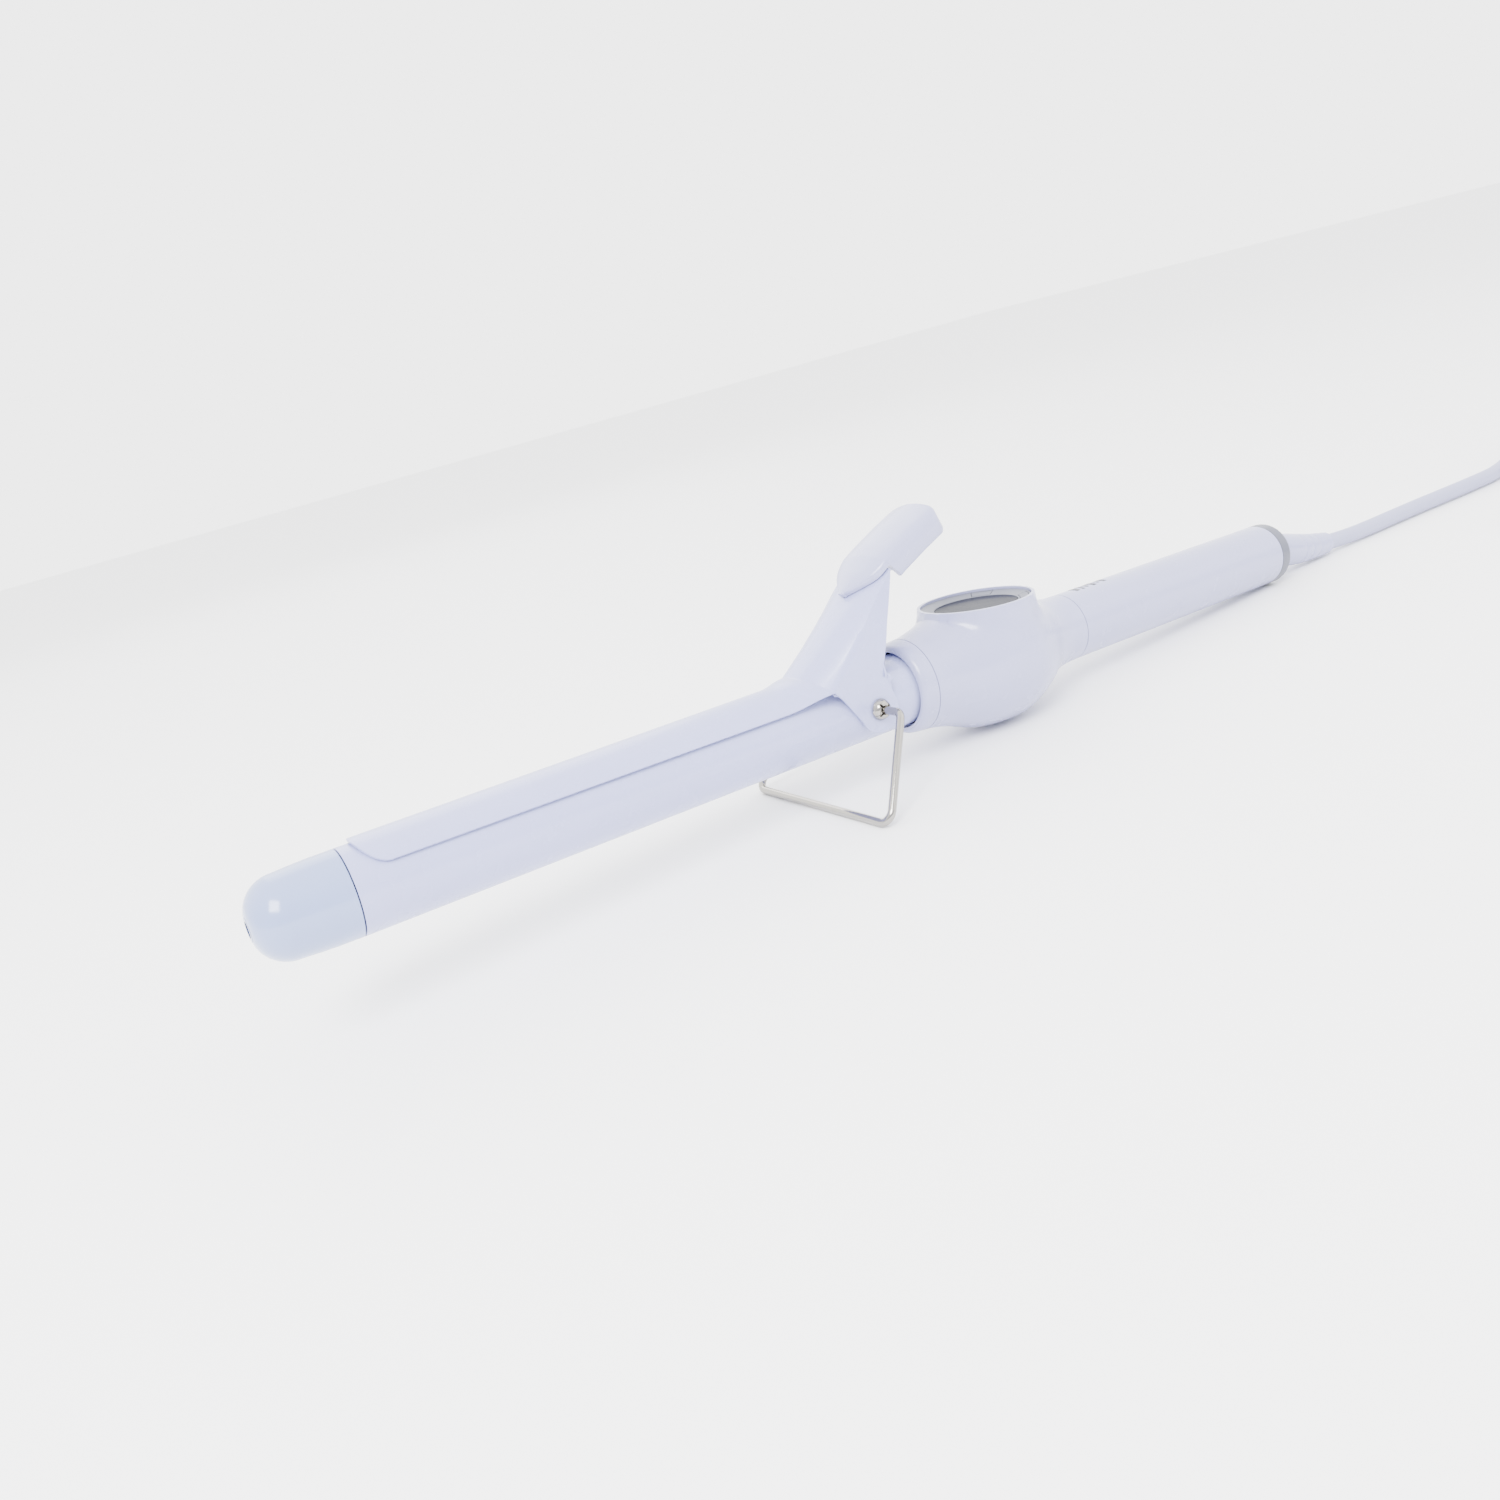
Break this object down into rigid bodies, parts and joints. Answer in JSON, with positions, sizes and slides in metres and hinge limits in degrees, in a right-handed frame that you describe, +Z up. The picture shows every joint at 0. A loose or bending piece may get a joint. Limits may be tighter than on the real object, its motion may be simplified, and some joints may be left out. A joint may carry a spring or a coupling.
{
  "type": "curling iron",
  "caption": "Slim curling iron with a sprung clip and thumb lever, a round display on a bulb-shaped housing, a wire rest stand and a mains cord tied in a hank.",
  "frame": {"origin": "on the floor under the middle of the iron's box without its cord, as it rests on its wire stand and end ring", "axes": "+X from the cool tip towards the cord, along the iron seen from above; +Z up, the side of the lever and display; +Y the rest of a right-handed set"},
  "size_m": [0.6662, 0.1093, 0.0752],
  "materials": {
    "white_plastic": "smooth gloss",
    "cool_tip_plastic": "smooth high gloss, faintly translucent",
    "white_coated_metal": "smooth glossy ceramic coating",
    "grey_plastic": "satin",
    "display_lens": "polished window",
    "nickel_steel": "bright nickel plate",
    "spring_steel": "rolled strip",
    "aluminium": "as extruded",
    "ceramic": "fired ceramic",
    "circuit_board": "solder mask",
    "black_plastic": "fine moulded texture",
    "brass": "plain",
    "white_cord": "soft PVC sheath"
  },
  "bodies": {
    "housing": {"bulb_housing": "white_plastic", "front_collar": "white_plastic", "handle_tube": "white_plastic", "cord_guard": "white_plastic", "cool_tip": "cool_tip_plastic", "barrel": "white_coated_metal", "bezel_ring": "grey_plastic", "end_ring": "grey_plastic", "display_lens": "display_lens", "lcd_panel": "display_lens", "tip_screw": "nickel_steel", "spring_rivet": "nickel_steel", "pivot_screw_near": "nickel_steel", "pivot_screw_far": "nickel_steel", "plug_blade_live": "nickel_steel", "plug_blade_neutral": "nickel_steel", "pivot_block": "spring_steel", "clip_spring": "spring_steel", "heater_clamp_upper": "aluminium", "heater_clamp_lower": "aluminium", "thermal_fuse": "aluminium", "heating_element": "ceramic", "temperature_sensor": "ceramic", "display_board": "circuit_board", "main_board": "circuit_board", "barrel_holder": "black_plastic", "temp_up_switch": "black_plastic", "temp_down_switch": "black_plastic", "power_switch": "black_plastic", "handle_coupling": "black_plastic", "triac": "black_plastic", "transformer": "black_plastic", "brush_holder": "black_plastic", "cord_tie": "black_plastic", "film_capacitor": "brass", "brush_live": "brass", "brush_neutral": "brass", "heater_lead_live": "white_cord", "heater_lead_neutral": "white_cord", "cord_run": "white_cord", "cord_hank": "white_cord", "cord_tail": "white_cord", "plug_body": "white_cord"},
    "clip_lever": {"clip": "white_coated_metal", "thumb_rest": "white_plastic"},
    "stand": {"stand_wire": "nickel_steel"},
    "temp_up": {"temp_up_key": "grey_plastic"},
    "temp_down": {"temp_down_key": "grey_plastic"},
    "power": {"power_key": "grey_plastic"},
    "swivel": {"swivel_hub": "black_plastic", "slip_ring_live": "brass", "slip_ring_neutral": "brass"}
  },
  "joints": [
    {"name": "clip_hinge", "type": "hinge", "parent": "housing", "child": "clip_lever", "pos_m": [-0.01187, 0, 0.02492], "axis": [0, 1, 0], "range_deg": [0, 22], "stiffness_Nm_per_rad": 0.3, "springref_deg": -17.19, "deforming": ["clip_spring"]},
    {"name": "stand_hinge", "type": "hinge", "parent": "housing", "child": "stand", "pos_m": [-0.01187, 0, 0.02492], "axis": [0, 1, 0], "range_deg": [-90, 0]},
    {"name": "cord_swivel", "type": "hinge", "parent": "housing", "child": "swivel", "pos_m": [0.18016, 0, 0.01146], "axis": [0.9976, 0, -0.0699], "continuous": true},
    {"name": "temp_up_press", "type": "slide", "parent": "housing", "child": "temp_up", "axis": [-0.0699, 0, -0.9976], "range_m": [0, 0.0005], "stiffness_N_per_m": 900, "springref_m": -0.0006},
    {"name": "temp_down_press", "type": "slide", "parent": "housing", "child": "temp_down", "axis": [-0.0699, 0, -0.9976], "range_m": [0, 0.0005], "stiffness_N_per_m": 900, "springref_m": -0.0006},
    {"name": "power_press", "type": "slide", "parent": "housing", "child": "power", "axis": [-0.0699, 0, -0.9976], "range_m": [0, 0.0005], "stiffness_N_per_m": 900, "springref_m": -0.0006}
  ]
}
